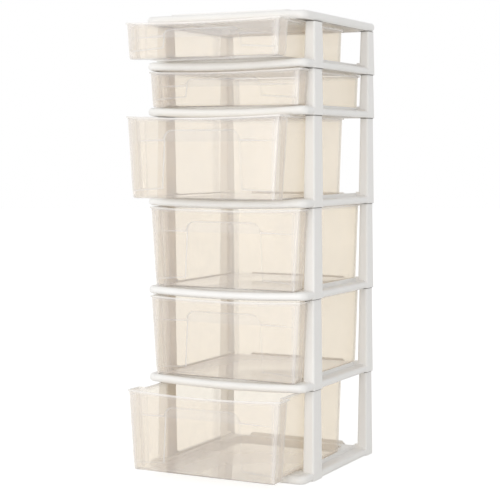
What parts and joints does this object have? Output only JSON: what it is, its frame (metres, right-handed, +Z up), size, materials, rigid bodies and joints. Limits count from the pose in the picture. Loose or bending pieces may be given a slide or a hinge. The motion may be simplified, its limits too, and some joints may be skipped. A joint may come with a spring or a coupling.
{
  "type": "drawer tower",
  "caption": "Tall free-standing plastic tower of stacked frames with corner posts, clear pull-out drawers, the upper ones shallower, and a flat top cover.",
  "frame": {"origin": "centre of the bounding box's footprint on the floor, with drawers 1, 3 and 6 pulled out 90 mm as at rest", "axes": "+Z up, -Y towards the drawer fronts, +X to the right of someone facing the fronts"},
  "size_m": [0.363, 0.453, 0.933],
  "materials": {
    "frame_plastic": "satin white moulded plastic",
    "drawer_plastic": "clear natural plastic with a faint warm tint"
  },
  "bodies": {
    "tower": {"frame_1": "frame_plastic", "frame_2": "frame_plastic", "frame_3": "frame_plastic", "frame_4": "frame_plastic", "frame_5": "frame_plastic", "frame_6": "frame_plastic", "top_cover": "frame_plastic"},
    "drawer_1_body": {"drawer_1": "drawer_plastic"},
    "drawer_2_body": {"drawer_2": "drawer_plastic"},
    "drawer_3_body": {"drawer_3": "drawer_plastic"},
    "drawer_4_body": {"drawer_4": "drawer_plastic"},
    "drawer_5_body": {"drawer_5": "drawer_plastic"},
    "drawer_6_body": {"drawer_6": "drawer_plastic"}
  },
  "joints": [
    {"name": "drawer_1_slide", "type": "slide", "parent": "tower", "child": "drawer_1_body", "axis": [0, -1, 0], "range_m": [-0.09, 0.15]},
    {"name": "drawer_2_slide", "type": "slide", "parent": "tower", "child": "drawer_2_body", "axis": [0, -1, 0], "range_m": [0, 0.24]},
    {"name": "drawer_3_slide", "type": "slide", "parent": "tower", "child": "drawer_3_body", "axis": [0, -1, 0], "range_m": [-0.09, 0.15]},
    {"name": "drawer_4_slide", "type": "slide", "parent": "tower", "child": "drawer_4_body", "axis": [0, -1, 0], "range_m": [0, 0.24]},
    {"name": "drawer_5_slide", "type": "slide", "parent": "tower", "child": "drawer_5_body", "axis": [0, -1, 0], "range_m": [0, 0.24]},
    {"name": "drawer_6_slide", "type": "slide", "parent": "tower", "child": "drawer_6_body", "axis": [0, -1, 0], "range_m": [-0.09, 0.15]}
  ]
}
